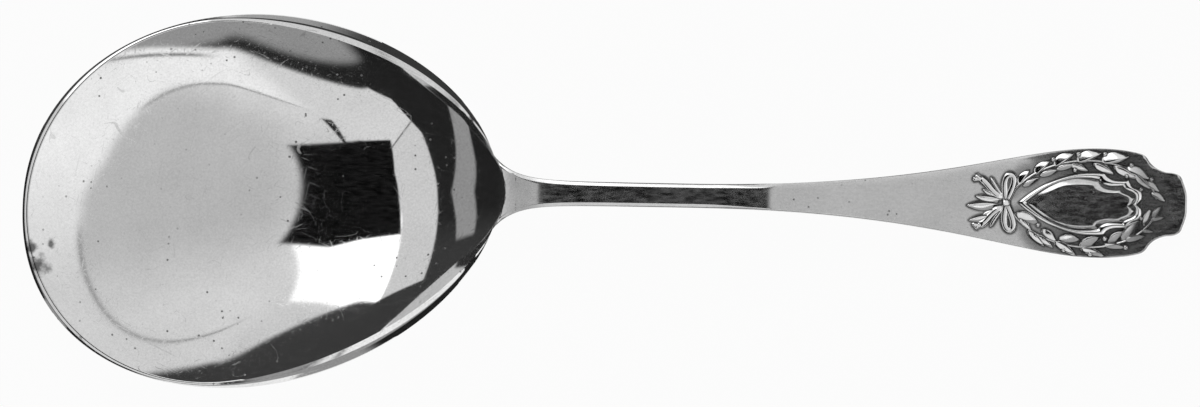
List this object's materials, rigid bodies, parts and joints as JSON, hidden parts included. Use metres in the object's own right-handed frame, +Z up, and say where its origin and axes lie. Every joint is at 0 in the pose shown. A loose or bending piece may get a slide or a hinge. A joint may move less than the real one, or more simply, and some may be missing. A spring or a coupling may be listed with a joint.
{
  "type": "preserve spoon",
  "caption": "Silver-plated preserve spoon: broad egg-shaped bowl, slim arched stem and a flat handle blade with a shield, laurel branches and a ribbon bow in relief.",
  "frame": {"origin": "on the table under the middle of the spoon's bounding box", "axes": "+X from the bowl's tip to the handle's end, +Y across to the right as the spoon is held with its bowl pointing away, +Z up out of the hollow"},
  "size_m": [0.1842, 0.0594, 0.0125],
  "materials": {
    "polished_silver": "worn polished silver plate with fine scratches and pits",
    "chased_silver": "silver plate in relief with dark tarnish in the recesses"
  },
  "bodies": {
    "root": {"bowl": "polished_silver", "stem": "polished_silver", "handle_blade": "polished_silver", "shield_field": "polished_silver", "shield_bead": "chased_silver", "ribbon_bow": "chased_silver", "ribbon_tail_left": "chased_silver", "ribbon_tail_right": "chased_silver", "laurel_stalks": "chased_silver", "laurel_branch_left": "chased_silver", "laurel_branch_right": "chased_silver"}
  },
  "joints": []
}
